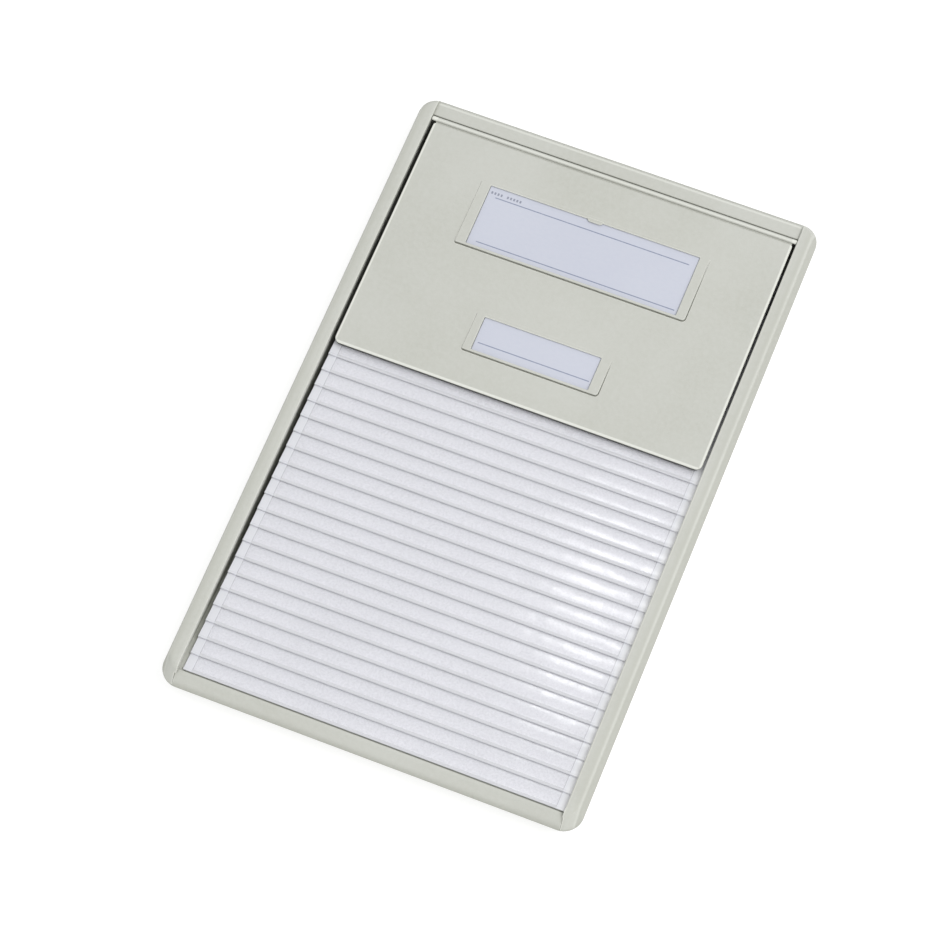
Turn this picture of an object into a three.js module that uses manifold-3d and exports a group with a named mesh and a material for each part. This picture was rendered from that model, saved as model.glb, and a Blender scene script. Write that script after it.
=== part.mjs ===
// Flat desk card index: a shallow tray between two side rails, a hinged cover
// with two label windows, and a stack of overlapping clear card pockets that
// hinge on small end pins. Millimetres, +Z up, +Y towards the cover's hinge (rear).
// Origin: centre of the resting plane, at the bottom of the rubber feet.
import * as THREE from 'three';
import { mergeVertices } from 'three/addons/utils/BufferGeometryUtils.js';
import Module from 'manifold-3d';

const wasm = await Module();
wasm.setup();

// ---- driving dimensions -------------------------------------------------
// Every s is a distance towards the front, counted from the rear bar's upper edge.
// *_X is a distance from the middle plane, *_Z or Z_* a height above the resting plane.
const RIM_X = 71.8;           // half width of the body at its rim, its widest level
const RIM_REAR_S = -2.63;
const RIM_FRONT_S = 226.85;
const Z_BODY = 1.0;           // underside of the body
const Z_RAIL = 18.0;          // top of the side rails
const RAIL_X = 66.3;          // inner face of a side rail
const TRAY_X = RAIL_X - 0.1;  // side of the tray, with a small gap to the rail

const FLOOR_T = 1.6;          // floor and ramp thickness
const Z_FLOOR = Z_BODY + FLOOR_T;
const BAR_S = 5.7;            // front face of the rear bar
const Z_BAR = 16.8;           // top of the rear bar
const BAR_EDGE_R = 0.4;       // rounding of the bar's front upper edge
const RAMP_S = 137.0;         // rear end of the ramp
const LIP_S = 222.1;          // inner face of the front lip
const Z_LIP = 15.2;           // top of the front lip
const Z_BELOW = Z_BODY - 0.7; // cut level under the envelope

const PITCH = 6.0;            // one writing line per visible strip
const LEAVES = 21;            // pockets in the stack
const FIRST_LEAF_S = 14.4;    // first leaf hinge
const LEAF_H = 88.0;          // pocket height from hinge to lower edge
const LEAF_W = 128.4;
const LEAF_T = 0.60;          // film + card + film
const LEAF_Z = 4.0;           // height of the leaf hinges
const SLOPE = THREE.MathUtils.degToRad(7.2);  // slope of the closed leaves
const RAMP_GAP = 0.25;        // ramp to the underside of the last leaf
const FILM_T = 0.15;          // one film wall
const BEAD_R = 0.42;          // rolled lower edge of a pocket
const PIN_R = 0.6;            // leaf hinge pin
const PIN_X = 65.9;           // end of the leaf hinge pins
const PIN_INSET = 0.12;       // start of a pin outside the pocket's side
const TAB_HALF_H = 0.36;      // half height of the flat tab that carries a pin
const TAB_OVERLAP = 1;        // reach of that tab into the pocket
const CARD_W = 125.0;
const CARD_H = 75.0;
const CARD_T = 0.24;
const CARD_GAP = 0.6;         // bead centre to the card's lower edge

const RACK_X = 64.5;          // inner face of a pin rack
const RACK_S = [10.0, 138.0];
const Z_RACK = 4.75;
const SLOT_HALF = PIN_R + 0.07;

const TONGUE_REACH = 1.1;     // depth of the tray's tongue in a rail
const TONGUE_S = [10, 214];
const TONGUE_Z = [1.6, 2.4];

const COVER_W = 129.2;
const COVER_S = [8.0, 97.5];  // rear and front edges of the cover plate
const Z_COVER = 17.5;         // top of the cover plate
const COVER_T = 1.6;
const COVER_EDGE = 0.3;       // bevel around the plate
const COVER_REAR_R = 0.7;     // corner radii in plan
const COVER_FRONT_R = 2.0;
const HINGE_S = 6.95;         // cover hinge axis
const HINGE_Z = 16.5;
const BARREL_R = 1.05;
const BARREL_X = 66.0;        // half length of the hinge barrel
const HINGE_PIN_R = 0.6;
const HINGE_PIN_X = 67.8;     // end of the cover hinge pins
const FRAME_RISE = 0.5;       // rise of a label frame at its front edge
const FRAME_FRONT = 0.9;      // frame width in front of a window
const RECESS = 0.7;           // depth of the label recesses
const LABEL_T = 0.22;
const LABEL_GAP = 0.15;       // gap around a label in its window
const TAB_X = 2.1;            // half width of the tab over a label
const LABELS = [
  { name: 'title_label_card', width: 75.0, rear: 24.3, front: 47.7, frameSide: 3.4, tab: true },
  { name: 'name_label_card', width: 41.2, rear: 71.1, front: 83.9, frameSide: 3.1, tab: false },
];

const RIB_HALF_T = 0.7;
const RIB_X = [-TRAY_X + RIB_HALF_T, -32, 0, 32, TRAY_X - RIB_HALF_T];

const FOOT_R = 5.0;
const FOOT_X = 52.0;
const FOOT_S = { rear: 14.0, front: 205.0 };
const FOOT_SEGMENTS = 28;
const HINGE_PIN_SEGMENTS = 20;

// ---- materials ------------------------------------------------------------
const ABS_GREY = 0xcdcdc6;
const FINISH = {
  tray: { color: ABS_GREY, roughness: 0.55 },
  shell: { color: ABS_GREY, roughness: 0.5 },
  label: { color: 0xdcdae4, roughness: 0.7 },
  rubber: { color: 0x4a4a4a, roughness: 0.85 },
  film: { color: 0xdde3ec, roughness: 0.15, transparent: true, opacity: 0.45 },
  card: { color: 0xf1f2f6, roughness: 0.75 },
};

// ---- places ---------------------------------------------------------------
const SIDES = [-1, 1];                     // left is -X, right is +X
const yAt = (s) => (RIM_REAR_S + RIM_FRONT_S) / 2 - s;
const leafS = (k) => FIRST_LEAF_S + PITCH * k;
const rampZ = (s) => LEAF_Z - LEAF_T / 2 - RAMP_GAP + (s - leafS(LEAVES - 1)) * Math.tan(SLOPE);
const across = (halfWidth) => [-halfWidth, halfWidth];
// X span on one side, from its inner and outer distances
const onSide = (side, inner, outer) => (side > 0 ? [inner, outer] : [-outer, -inner]);

// ---- solids ---------------------------------------------------------------
function toSolid(source) {
  let geometry = source.clone();
  geometry.deleteAttribute('normal');
  geometry.deleteAttribute('uv');
  geometry = mergeVertices(geometry, 1e-5);
  return new wasm.Manifold(new wasm.Mesh({
    numProp: 3,
    vertProperties: Float32Array.from(geometry.attributes.position.array),
    triVerts: Uint32Array.from(geometry.index.array),
  }));
}

function toGeometry(solid) {
  const mesh = solid.getMesh();
  const geometry = new THREE.BufferGeometry();
  geometry.setAttribute('position', new THREE.Float32BufferAttribute(mesh.vertProperties, 3));
  geometry.setIndex(Array.from(mesh.triVerts));
  geometry.computeVertexNormals();
  return geometry;
}

function part(name, solid, finish) {
  const material = new THREE.MeshStandardMaterial({ metalness: 0, ...finish });
  const mesh = new THREE.Mesh(toGeometry(solid), material);
  mesh.name = name;
  return mesh;
}

function box([x0, x1], [y0, y1], [z0, z1]) {
  const geometry = new THREE.BoxGeometry(x1 - x0, y1 - y0, z1 - z0);
  geometry.translate((x0 + x1) / 2, (y0 + y1) / 2, (z0 + z1) / 2);
  return toSolid(geometry);
}

// a box placed by its rear and front s
const boxS = (xs, [rear, front], zs) => box(xs, [yAt(front), yAt(rear)], zs);

// a (y, z) outline drawn along X
function alongX(outline, [x0, x1], holes = []) {
  const toPoints = (points) => points.map(([y, z]) => new THREE.Vector2(y, z));
  const shape = new THREE.Shape(toPoints(outline));
  for (const hole of holes) shape.holes.push(new THREE.Path(toPoints(hole)));
  const geometry = new THREE.ExtrudeGeometry(shape, {
    depth: x1 - x0, bevelEnabled: false, steps: 1,
  });
  geometry.applyMatrix4(new THREE.Matrix4().set(
    0, 0, 1, x0,
    1, 0, 0, 0,
    0, 1, 0, 0,
    0, 0, 0, 1));
  return toSolid(geometry);
}

// an (s, z) outline drawn along X
const alongXS = (outline, xs) => alongX(outline.map(([s, z]) => [yAt(s), z]), xs);

function rodX(radius, [x0, x1], y, z, segments) {
  const geometry = new THREE.CylinderGeometry(radius, radius, x1 - x0, segments);
  geometry.rotateZ(Math.PI / 2);
  geometry.rotateX(Math.PI / segments);
  geometry.translate((x0 + x1) / 2, y, z);
  return toSolid(geometry);
}

function rodZ(radius, [z0, z1], x, y, segments) {
  const geometry = new THREE.CylinderGeometry(radius, radius, z1 - z0, segments);
  geometry.rotateX(Math.PI / 2);
  geometry.translate(x, y, (z0 + z1) / 2);
  return toSolid(geometry);
}

// points on an arc, angles in degrees
function arc(centreX, centreY, radius, start, end, steps) {
  return Array.from({ length: steps + 1 }, (_, i) => {
    const angle = (start + (end - start) * i / steps) * Math.PI / 180;
    return [centreX + radius * Math.cos(angle), centreY + radius * Math.sin(angle)];
  });
}

// ---- body envelope shared by the tray and the rails ----------------------
// The walls lean in above and below the rim.
// columns: height, half width, rear s, front s, plan corner radius
const LEVELS = [
  [Z_BODY, 69.7, 0.4, 222.4, 5.6],
  [1.6, 70.25, -0.15, 223.0, 6.0],
  [10.4, 71.6, -2.4, 226.6, 6.5],
  [10.9, RIM_X, RIM_REAR_S, RIM_FRONT_S, 6.6],
  [11.9, RIM_X, RIM_REAR_S, RIM_FRONT_S, 6.6],
  [12.7, 71.65, -2.25, 226.3, 6.5],
  [17.0, 70.5, 0.05, 223.2, 5.7],
  [17.6, 70.15, 0.6, 222.6, 5.4],
  [17.9, 69.7, 1.1, 222.0, 5.0],
  [Z_RAIL, 69.2, 1.7, 221.3, 4.6],
];
const CORNER_STEPS = 7;

// one rounded rectangle, counterclockwise from the front left corner
function levelRing([z, halfWidth, rear, front, radius]) {
  const x = halfWidth - radius;
  const yFront = yAt(front) + radius;
  const yRear = yAt(rear) - radius;
  return [[-x, yFront, 180], [x, yFront, 270], [x, yRear, 0], [-x, yRear, 90]]
    .flatMap(([cx, cy, start]) => arc(cx, cy, radius, start, start + 90, CORNER_STEPS))
    .map(([px, py]) => [px, py, z]);
}

function buildEnvelope() {
  const rings = LEVELS.map(levelRing);
  const count = rings[0].length;
  const top = (rings.length - 1) * count;
  const index = [];
  for (let k = 0; k < rings.length - 1; k++) {
    for (let i = 0; i < count; i++) {
      const a = k * count + i;
      const b = k * count + (i + 1) % count;
      index.push(a, b, b + count, a, b + count, a + count);
    }
  }
  // end caps
  for (let i = 1; i < count - 1; i++) {
    index.push(0, i + 1, i);
    index.push(top, top + i, top + i + 1);
  }
  const geometry = new THREE.BufferGeometry();
  geometry.setAttribute('position', new THREE.Float32BufferAttribute(rings.flat(2), 3));
  geometry.setIndex(index);
  return toSolid(geometry);
}
const envelope = buildEnvelope();

// ---- tray: floor, ramp, rear bar, front lip, pin racks --------------------
// columns: s, z; the outer ends overshoot the envelope, which trims them
const TRAY_OUTLINE = [
  // rear wall and bar
  [-4, Z_BELOW], [-4, 10.0], [-2.9, 11.4], [-0.05, 15.9],
  [0.45, 16.42], [0.9, 16.72], [1.4, Z_BAR],
  ...arc(BAR_S - BAR_EDGE_R, Z_BAR - BAR_EDGE_R, BAR_EDGE_R, 90, 0, 2),
  // floor and ramp
  [BAR_S, Z_FLOOR], [RAMP_S, Z_FLOOR], [RAMP_S, rampZ(RAMP_S)], [LIP_S, rampZ(LIP_S)],
  // front lip and wall
  [LIP_S, Z_LIP - 0.2], [LIP_S + 0.2, Z_LIP], [223.0, Z_LIP], [223.5, Z_LIP - 0.12],
  [227.2, 12.2], [228.5, 11.0], [228.5, Z_BELOW],
  // hollow under the ramp
  [221.0, Z_BELOW], [221.0, 2.2], [224.3, 10.8], [223.3, 12.2],
  [221.0, rampZ(221.0) - FLOOR_T],
  [RAMP_S + 3, rampZ(RAMP_S + 3) - FLOOR_T], [RAMP_S + 3, Z_BELOW],
  // hollow in the rear bar
  [BAR_S - 1.5, Z_BELOW], [BAR_S - 1.5, Z_BAR - 1.6],
  [1.9, Z_BAR - 1.6], [-0.7, 11.7], [1.9, 2.2], [1.9, Z_BELOW],
];
const RIB_OUTLINE = [
  [RAMP_S + 1, Z_BELOW], [RAMP_S + 1, rampZ(RAMP_S + 1) - 0.8],
  [222.6, rampZ(222.6) - 0.8], [225.0, 11.6], [225.0, Z_BELOW],
];

// castellated rack outline: each slot seats one leaf pin
function rackOutline() {
  const [rear, front] = RACK_S;
  const base = Z_FLOOR - 0.4;
  const slotFloor = LEAF_Z - SLOT_HALF;
  const outline = [[front, base], [rear, base], [rear, Z_RACK]];
  for (let k = 0; k < LEAVES; k++) {
    const s0 = leafS(k) - SLOT_HALF;
    const s1 = leafS(k) + SLOT_HALF;
    outline.push([s0, Z_RACK], [s0, slotFloor], [s1, slotFloor], [s1, Z_RACK]);
  }
  outline.push([front, Z_RACK]);
  return outline;
}

function buildTray() {
  let tray = alongXS(TRAY_OUTLINE, across(TRAY_X));
  // stiffening ribs and the two front foot bosses under the ramp
  for (const x of RIB_X) {
    tray = tray.add(alongXS(RIB_OUTLINE, [x - RIB_HALF_T, x + RIB_HALF_T]));
  }
  const bossTop = rampZ(FOOT_S.front - 6) - 0.4;
  for (const x of across(FOOT_X)) {
    tray = tray.add(rodZ(FOOT_R + 1.3, [Z_BELOW, bossTop], x, yAt(FOOT_S.front), 24));
  }
  tray = tray.intersect(envelope);
  for (const side of SIDES) {
    tray = tray.add(alongXS(rackOutline(), onSide(side, RACK_X, RAIL_X - 0.2)));
    // tongue that enters the rail's groove
    const tongueX = onSide(side, TRAY_X - 0.5, RAIL_X + TONGUE_REACH);
    tray = tray.add(boxS(tongueX, TONGUE_S, TONGUE_Z));
  }
  // recesses for the feet
  for (const s of Object.values(FOOT_S)) {
    for (const x of across(FOOT_X)) {
      const depth = [Z_BODY - 0.5, Z_BODY + 0.5];
      tray = tray.subtract(rodZ(FOOT_R + 0.1, depth, x, yAt(s), FOOT_SEGMENTS));
    }
  }
  return tray;
}

// ---- side rails -----------------------------------------------------------
function buildRail(side) {
  const span = (inner, outer) => onSide(side, inner, outer);
  const outside = boxS(span(RAIL_X, RIM_X + 5), [-10, 240], [0, Z_RAIL + 2]);
  const ledge = boxS(span(RACK_X + 0.2, RAIL_X + 0.5), RACK_S, [Z_RACK + 0.05, Z_RACK + 0.85]);
  const groove = boxS(
    span(RAIL_X - 0.5, RAIL_X + TONGUE_REACH + 0.1),
    [TONGUE_S[0] - 0.1, TONGUE_S[1] + 0.1],
    [TONGUE_Z[0] - 0.05, TONGUE_Z[1] + 0.05]);
  const weightChannel = boxS(span(RAIL_X + 1.8, RAIL_X + 2.7), [9.5, 214], [0, 14.0]);
  const hingeSocket = rodX(HINGE_PIN_R + 0.07, span(RAIL_X - 0.5, HINGE_PIN_X + 0.2),
    yAt(HINGE_S), HINGE_Z, HINGE_PIN_SEGMENTS);
  // the ledge retains the pins over the rack
  return envelope.intersect(outside)
    .add(ledge)
    .subtract(groove)
    .subtract(weightChannel)
    .subtract(hingeSocket);
}

// ---- cover ----------------------------------------------------------------
function coverPlate() {
  const x = COVER_W / 2;
  const yRear = yAt(COVER_S[0]);
  const yFront = yAt(COVER_S[1]);
  const rearR = COVER_REAR_R;
  const frontR = COVER_FRONT_R;
  const plan = new THREE.Shape();
  plan.moveTo(-x + frontR, yFront);
  plan.lineTo(x - frontR, yFront);
  plan.absarc(x - frontR, yFront + frontR, frontR, -Math.PI / 2, 0, false);
  plan.lineTo(x, yRear - rearR);
  plan.absarc(x - rearR, yRear - rearR, rearR, 0, Math.PI / 2, false);
  plan.lineTo(-x + rearR, yRear);
  plan.absarc(-x + rearR, yRear - rearR, rearR, Math.PI / 2, Math.PI, false);
  plan.lineTo(-x, yFront + frontR);
  plan.absarc(-x + frontR, yFront + frontR, frontR, Math.PI, Math.PI * 1.5, false);
  const geometry = new THREE.ExtrudeGeometry(plan, {
    depth: COVER_T - 2 * COVER_EDGE, steps: 1, curveSegments: 5,
    bevelEnabled: true, bevelThickness: COVER_EDGE, bevelSize: COVER_EDGE,
    bevelOffset: -COVER_EDGE, bevelSegments: 2,
  });
  geometry.translate(0, 0, Z_COVER - COVER_T + COVER_EDGE);
  return toSolid(geometry);
}

// wedge frame: nearly flush at the rear, raised at the front edge
function labelFrame({ width, rear, front, frameSide }) {
  const frontEdge = front + FRAME_FRONT;
  return alongXS([
    [rear - 0.6, Z_COVER - 0.3], [rear - 0.6, Z_COVER + 0.02],
    [frontEdge - 0.15, Z_COVER + FRAME_RISE], [frontEdge, Z_COVER + FRAME_RISE - 0.15],
    [frontEdge, Z_COVER - 0.3],
  ], across(width / 2 + frameSide));
}

// retaining tab at the rear middle of a window
function labelTab({ rear }) {
  return alongXS([
    [rear - 0.5, Z_COVER - 0.3], [rear - 0.5, Z_COVER + 0.3],
    [rear + 0.7, Z_COVER + 0.3], [rear + 0.9, Z_COVER + 0.1],
    [rear + 0.9, Z_COVER - 0.06], [rear, Z_COVER - 0.06], [rear, Z_COVER - 0.3],
  ], across(TAB_X));
}

function buildCover() {
  const hingeY = yAt(HINGE_S);
  // thinner web between the plate and the hinge barrel
  const web = boxS(across(COVER_W / 2 - 0.3), [HINGE_S, 8.6], [HINGE_Z - 0.55, HINGE_Z + 0.65]);
  let cover = coverPlate()
    .add(web)
    .add(rodX(BARREL_R, across(BARREL_X), hingeY, HINGE_Z, 24))
    .add(rodX(HINGE_PIN_R, across(HINGE_PIN_X), hingeY, HINGE_Z, HINGE_PIN_SEGMENTS));
  for (const label of LABELS) {
    const window = boxS(across(label.width / 2), [label.rear, label.front],
      [Z_COVER - RECESS, Z_COVER + 2]);
    cover = cover.add(labelFrame(label)).subtract(window);
    if (label.tab) cover = cover.add(labelTab(label));
  }
  return cover;
}

function buildLabel({ width, rear, front }) {
  const bottom = Z_COVER - RECESS + 0.01;
  return boxS(across(width / 2 - LABEL_GAP), [rear + LABEL_GAP, front - LABEL_GAP],
    [bottom, bottom + LABEL_T]);
}

// ---- leaves ---------------------------------------------------------------
// drawn lying flat with the hinge axis on X, the leaf running to the front
const LEAF_HALF_T = LEAF_T / 2;
const BEAD_Y = -(LEAF_H - BEAD_R);

function buildPocket() {
  const half = LEAF_HALF_T;
  const inner = half - FILM_T;
  const outline = [
    [0.7, -half], [0.7, half], [BEAD_Y + 0.4, half],
    ...arc(BEAD_Y, BEAD_R - half - 0.02, BEAD_R, 70, 270, 5),
    [BEAD_Y + 0.2, -half],
  ];
  const cavity = [[-2, -inner], [-2, inner], [BEAD_Y + 0.45, inner], [BEAD_Y + 0.45, -inner]];
  let pocket = alongX(outline, across(LEAF_W / 2), [cavity]);
  for (const side of SIDES) {
    const tabX = onSide(side, LEAF_W / 2 - TAB_OVERLAP, PIN_X);
    const pinX = onSide(side, LEAF_W / 2 + PIN_INSET, PIN_X);
    pocket = pocket.add(box(tabX, across(TAB_HALF_H), across(half)));
    pocket = pocket.add(rodX(PIN_R, pinX, 0, 0, 8));
  }
  return pocket;
}

function buildCard() {
  const lower = BEAD_Y + CARD_GAP;
  return box(across(CARD_W / 2), [lower, lower + CARD_H], across(CARD_T / 2));
}

// ---- assembly -------------------------------------------------------------
const group = new THREE.Group();
group.name = 'card_index';
group.add(part('tray_base', buildTray(), FINISH.tray));
group.add(part('side_rail_left', buildRail(-1), FINISH.shell));
group.add(part('side_rail_right', buildRail(1), FINISH.shell));
group.add(part('cover', buildCover(), FINISH.shell));
for (const label of LABELS) group.add(part(label.name, buildLabel(label), FINISH.label));

for (const [end, s] of Object.entries(FOOT_S)) {
  for (const [hand, x] of [['left', -FOOT_X], ['right', FOOT_X]]) {
    const foot = rodZ(FOOT_R, [0, Z_BODY + 0.45], x, yAt(s), FOOT_SEGMENTS);
    group.add(part(`foot_${end}_${hand}`, foot, FINISH.rubber));
  }
}

const pocket = buildPocket();
const card = buildCard();
for (let k = 0; k < LEAVES; k++) {
  const number = String(k + 1).padStart(2, '0');
  const leaf = new THREE.Group();
  leaf.position.set(0, yAt(leafS(k)), LEAF_Z);
  leaf.rotation.x = -SLOPE;
  leaf.add(part(`pocket_${number}`, pocket, FINISH.film));
  leaf.add(part(`card_${number}`, card, FINISH.card));
  group.add(leaf);
}

export default group;
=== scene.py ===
"""A desk card index: a wedge-shaped grey tray on four rubber feet, with a hinged cover plate at
the rear that carries two label windows, and 21 overlapping clear pockets that each hold a card.

It stands on z = 0 and is centred on x = 0, with its front towards -y. Dimensions are in
millimetres: x to the right, z up, and s the distance towards the front, counted from the upper
edge of the rear bar. Meshes are scaled to metres when they are made.
"""

import math
from collections import namedtuple

import bmesh
import bpy
import numpy as np
from mathutils import Matrix, Vector
from mathutils.geometry import tessellate_polygon


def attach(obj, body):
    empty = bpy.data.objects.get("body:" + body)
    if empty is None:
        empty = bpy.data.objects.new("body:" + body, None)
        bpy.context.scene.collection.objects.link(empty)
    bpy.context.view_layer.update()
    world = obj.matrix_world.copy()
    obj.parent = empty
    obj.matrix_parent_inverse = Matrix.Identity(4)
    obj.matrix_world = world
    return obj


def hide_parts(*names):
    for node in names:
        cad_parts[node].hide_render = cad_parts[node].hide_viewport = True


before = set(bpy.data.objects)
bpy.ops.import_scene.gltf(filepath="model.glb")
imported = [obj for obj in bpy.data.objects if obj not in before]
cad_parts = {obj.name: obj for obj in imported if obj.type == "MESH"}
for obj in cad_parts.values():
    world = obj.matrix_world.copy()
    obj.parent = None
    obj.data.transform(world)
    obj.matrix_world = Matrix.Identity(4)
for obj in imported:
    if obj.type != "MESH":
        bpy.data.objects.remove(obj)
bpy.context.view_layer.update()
scene = bpy.context.scene

# ---------------------------------------------------------------- dimensions
MM = 0.001
RIM_X, RIM_REAR, RIM_FRONT = 71.8, -2.63, 226.85    # widest outline of the body
MID = (RIM_REAR + RIM_FRONT) / 2                    # the s that lies on y = 0
Z_BODY, Z_RAIL = 1.0, 18.0                          # underside and top of the body
RAIL_X = 66.3                                       # inner face of a rail
TRAY_X = 66.2
BAR_Z, BAR_S, BAR_ROUND = 16.8, 5.7, 0.45           # rear bar: top, front face, edge radius
LIP_Z, LIP_S, LIP_ROUND = 15.2, 222.1, 0.3          # front lip: top, rear face, edge radius
FLOOR_T = 1.6
RAMP_S = 137.0                                      # rear end of the sloping floor
FOOT_X, FOOT_REAR, FOOT_FRONT = 52.0, 14.0, 205.0
RACK_REAR, RACK_FRONT = 10.0, 138.0                 # length of the racks and ledges

LEAVES, PITCH = 21, 6.0
LEAF_S, LEAF_Z = 14.4, 4.0                          # hinge line of the rearmost leaf
LEAF_LENGTH, LEAF_T, FILM_T = 88.0, 0.60, 0.15
BEAD_R = 0.42                                       # rolled front edge of a pocket
SLOPE = math.radians(7.2)
RAMP_GAP = 0.25                                     # between the leaves and the ramp

COVER_Z, COVER_T = 17.5, 1.6
COVER_X, COVER_REAR, COVER_FRONT = 64.58, 8.65, 97.5
HINGE_S, HINGE_Z = 6.95, 16.5
BARREL_R, BARREL_X = 0.92, 65.85
# the cover and the sheets sit a little to the right inside their side play
PLAY_COVER, PLAY_LEAF = 0.41, 0.8


def y_at(s):
    return MID - s


def leaf_s(k):
    return LEAF_S + PITCH * k


def ramp_z(s):
    """Height of the sloping floor, parallel to the leaves."""
    return LEAF_Z - LEAF_T / 2 - RAMP_GAP + (s - leaf_s(LEAVES - 1)) * math.tan(SLOPE)


# ---------------------------------------------------------------- mesh tools
def round_box(x0, x1, y0, y1, radii, n):
    """Rounded rectangle, n steps a corner. Radii run counter-clockwise from (x0, y0)."""
    out = []
    corners = [(x0, y0, 1, 1, 180), (x1, y0, -1, 1, 270), (x1, y1, -1, -1, 0), (x0, y1, 1, -1, 90)]
    for (x, y, inward_x, inward_y, start), r in zip(corners, radii):
        r = max(r, 0.02)
        for i in range(n + 1):
            a = math.radians(start + 90 * i / n)
            out.append((x + inward_x * r + r * math.cos(a), y + inward_y * r + r * math.sin(a)))
    return out


def plan_box(x0, x1, rear, front, radii, n=6):
    """Rounded rectangle in plan. Radii: front-left, front-right, rear-right, rear-left."""
    return round_box(x0, x1, y_at(front), y_at(rear), radii, n)


def at_z(points, z):
    return [(x, y, z) for x, y in points]


def at_height(points, height):
    """Plan points lifted to height(s)."""
    return [(x, y, height(MID - y)) for x, y in points]


def circle(n):
    return [(math.cos(2 * math.pi * i / n), math.sin(2 * math.pi * i / n)) for i in range(n)]


def degrees(start, end, count):
    """Evenly spaced angles, given in degrees and returned in radians."""
    return np.radians(np.linspace(start, end, count))


class Shape:
    """Vertices in millimetres and faces, gathered loop by loop."""

    def __init__(self):
        self.points, self.faces = [], []

    def loop(self, points):
        first = len(self.points)
        self.points.extend(tuple(map(float, p)) for p in points)
        return list(range(first, first + len(points)))

    def bridge(self, a, b):
        for i in range(len(a)):
            j = (i + 1) % len(a)
            self.faces.append((a[i], a[j], b[j], b[i]))

    def cap(self, loop):
        self.faces.append(tuple(loop))

    def wall(self, loops):
        """Loops joined one to the next, with open ends."""
        ids = [self.loop(points) for points in loops]
        for a, b in zip(ids, ids[1:]):
            self.bridge(a, b)
        return ids

    def skin(self, loops):
        """Loops joined one to the next, and closed at both ends."""
        ids = self.wall(loops)
        self.cap(ids[0])
        self.cap(ids[-1])

    def fill(self, loops, drop_x=False):
        """A flat face between an outer loop and its holes; drop_x works it out in y and z."""
        order = [i for loop in loops for i in loop]
        outlines = []
        for loop in loops:
            corners = [self.points[i] for i in loop]
            outlines.append([Vector((0.0 if drop_x else x, y, z)) for x, y, z in corners])
        for triangle in tessellate_polygon(outlines):
            self.faces.append(tuple(order[i] for i in triangle))

    def along_x(self, profile, stations):
        """A closed (s, z) outline drawn along x through the stations."""
        self.skin([[(x, y_at(s), z) for s, z in profile] for x in stations])

    def along_y(self, profile, y0, y1):
        """A closed (x, z) outline drawn along y."""
        self.skin([[(x, y, z) for x, z in profile] for y in (y0, y1)])

    def disc(self, x, s, n, steps):
        """An upright turned shape; steps are (radius, z)."""
        self.skin([[(x + r * a, y_at(s) + r * b, z) for a, b in circle(n)] for r, z in steps])

    def rod_x(self, radius, ends, n, edge):
        """A rod on the cover's hinge line, with softened edges."""
        x0, x1 = sorted(ends)
        soft = edge * 0.3
        stations = ((x0, radius - edge), (x0 + soft, radius - soft), (x0 + edge, radius),
                    (x1 - edge, radius), (x1 - soft, radius - soft), (x1, radius - edge))
        self.skin([[(x, y_at(HINGE_S) + r * a, HINGE_Z + r * b) for a, b in circle(n)]
                   for x, r in stations])


def shade_smooth(mesh, sharp):
    """Smooth shading, broken at edges steeper than sharp degrees."""
    mesh.polygons.foreach_set("use_smooth", [True] * len(mesh.polygons))
    mesh.set_sharp_from_angle(angle=math.radians(sharp))


def make_mesh(name, shape, sharp=38):
    mesh = bpy.data.meshes.new(name)
    mesh.from_pydata([(x * MM, y * MM, z * MM) for x, y, z in shape.points], [], shape.faces)
    bm = bmesh.new()
    bm.from_mesh(mesh)
    bmesh.ops.remove_doubles(bm, verts=bm.verts, dist=2e-7)
    bmesh.ops.dissolve_degenerate(bm, edges=bm.edges, dist=1e-7)
    bmesh.ops.recalc_face_normals(bm, faces=bm.faces)
    bm.to_mesh(mesh)
    bm.free()
    shade_smooth(mesh, sharp)
    mesh.update()
    return mesh


def add_object(name, data):
    ob = bpy.data.objects.new(name, data)
    scene.collection.objects.link(ob)
    return ob


def carve(mesh, other_mesh, operation):
    """A boolean of two meshes, as a new mesh."""
    work = add_object("work", mesh)
    other = add_object("other", other_mesh)
    boolean = work.modifiers.new("carve", "BOOLEAN")
    boolean.operation, boolean.object, boolean.solver = operation, other, "EXACT"
    graph = bpy.context.evaluated_depsgraph_get()
    graph.update()
    out = bpy.data.meshes.new_from_object(work.evaluated_get(graph), depsgraph=graph)
    for ob in (work, other):
        bpy.data.objects.remove(ob)
    return out


def join(mesh, other):
    """Adds the other mesh to the first."""
    bm = bmesh.new()
    bm.from_mesh(mesh)
    bm.from_mesh(other)
    bm.to_mesh(mesh)
    bm.free()
    return mesh


def piece(name, mesh, material, body, replaced=None):
    """A finished object that rides on a body and may stand in for one CAD piece."""
    ob = add_object(name, mesh)
    mesh.materials.append(material)
    normals = ob.modifiers.new("shade", "WEIGHTED_NORMAL")
    normals.keep_sharp = True
    normals.weight = 60
    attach(ob, body)
    if replaced:
        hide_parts(replaced)


# ---------------------------------------------------------------- shader tools
def srgb(*channels):
    """Linear colour from 0-255 sRGB channels."""
    def linear(c):
        c /= 255.0
        return c / 12.92 if c <= 0.04045 else ((c + 0.055) / 1.055) ** 2.4
    return (*map(linear, channels), 1.0)


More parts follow.
